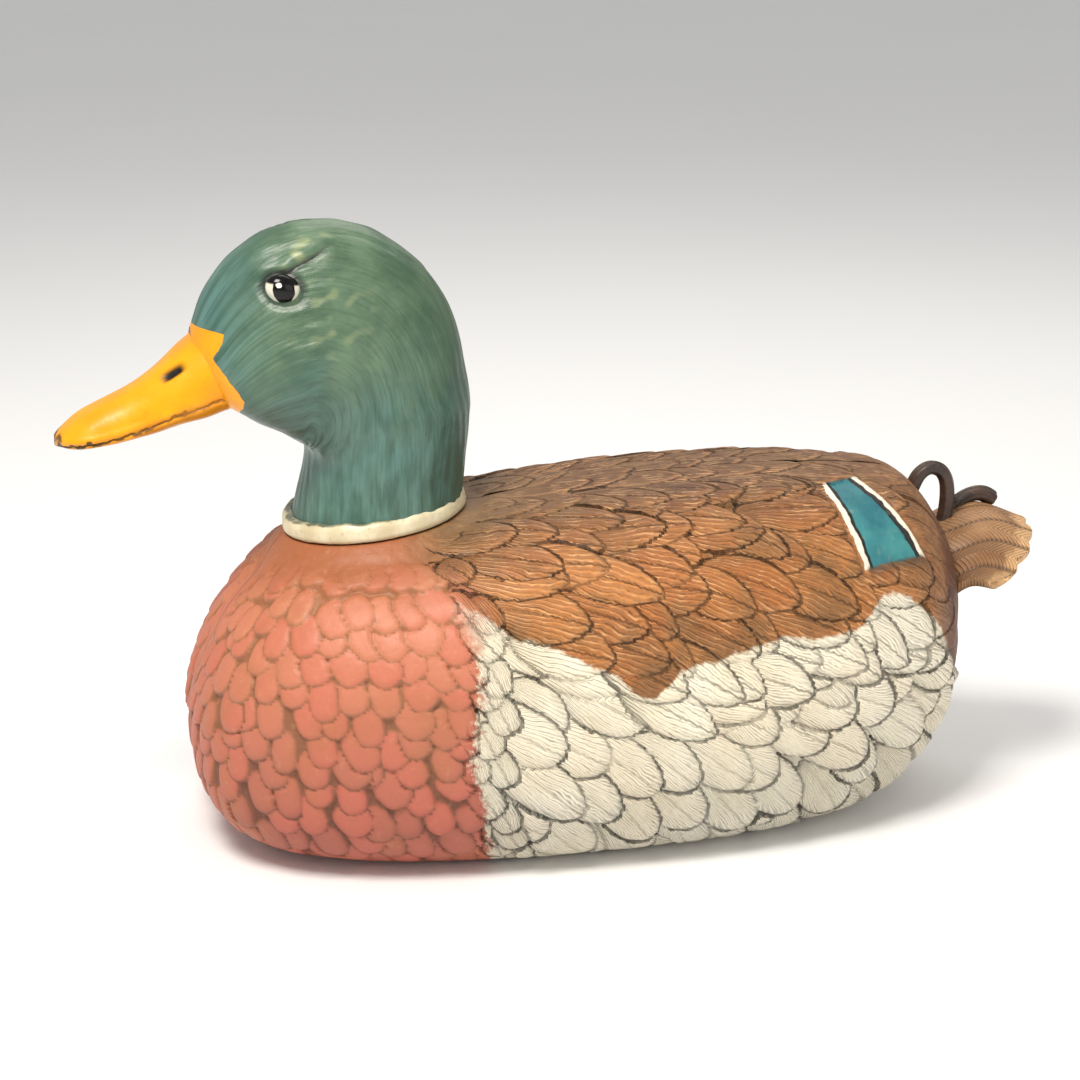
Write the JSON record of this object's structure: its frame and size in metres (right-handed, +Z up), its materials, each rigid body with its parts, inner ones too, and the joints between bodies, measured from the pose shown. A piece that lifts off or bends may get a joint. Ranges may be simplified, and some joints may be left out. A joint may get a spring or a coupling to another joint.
{
  "type": "duck decoy",
  "caption": "Floating mallard drake decoy: hollow two-part body, head that turns on a raked neck seat, fanned tail, and a screwed bottom board with ballast.",
  "frame": {"origin": "middle of the bounding box at the underside of the bottom board, where the decoy rests", "axes": "+Z up; -Y is the way the bill points and +Y is the tail; +X is the duck's left side"},
  "size_m": [0.1762, 0.4149, 0.2566],
  "materials": {
    "painted_body": "hand-painted, satin",
    "painted_tail": "hand-painted, satin",
    "painted_curls": "hand-painted, satin",
    "painted_head": "hand-painted, satin",
    "painted_bill": "hand-painted, semi-gloss",
    "painted_collar": "hand-painted, satin",
    "eye": "painted and lacquered",
    "board": "painted, matte",
    "nylon": "natural, unpainted",
    "rubber": "matte black",
    "ballast": "cast, unpainted",
    "screw_brass": "dull",
    "pin_steel": "plain"
  },
  "bodies": {
    "hull": {"left_body_shell": "painted_body", "right_body_shell": "painted_body", "tail_fan": "painted_tail", "upper_tail_curl": "painted_curls", "lower_tail_curl": "painted_curls", "bottom_board": "board", "neck_bush": "nylon", "tie_cup": "nylon", "board_gasket": "rubber", "plug_seal": "rubber", "friction_washer": "rubber", "ballast_weight": "ballast", "board_screw_left_1": "screw_brass", "board_screw_right_1": "screw_brass", "board_screw_left_2": "screw_brass", "board_screw_right_2": "screw_brass", "board_screw_left_3": "screw_brass", "board_screw_right_3": "screw_brass", "board_screw_left_4": "screw_brass", "board_screw_right_4": "screw_brass", "ballast_screw_1": "screw_brass", "ballast_screw_2": "screw_brass", "tie_pin": "pin_steel"},
    "head": {"head_shell": "painted_head", "bill": "painted_bill", "left_eye": "eye", "right_eye": "eye", "neck_collar": "painted_collar", "neck_plug": "nylon", "stem_nut": "nylon"},
    "drain_plug": {"drain_plug": "rubber"}
  },
  "joints": [
    {"name": "head_turn", "type": "hinge", "parent": "hull", "child": "head", "pos_m": [0, -0.079, 0.132], "axis": [0, -0.1257, 0.9921], "continuous": true},
    {"name": "drain_plug_turn", "type": "hinge", "parent": "hull", "child": "drain_plug", "pos_m": [0, 0.07, 0.006], "axis": [0, 0, 1], "continuous": true}
  ]
}
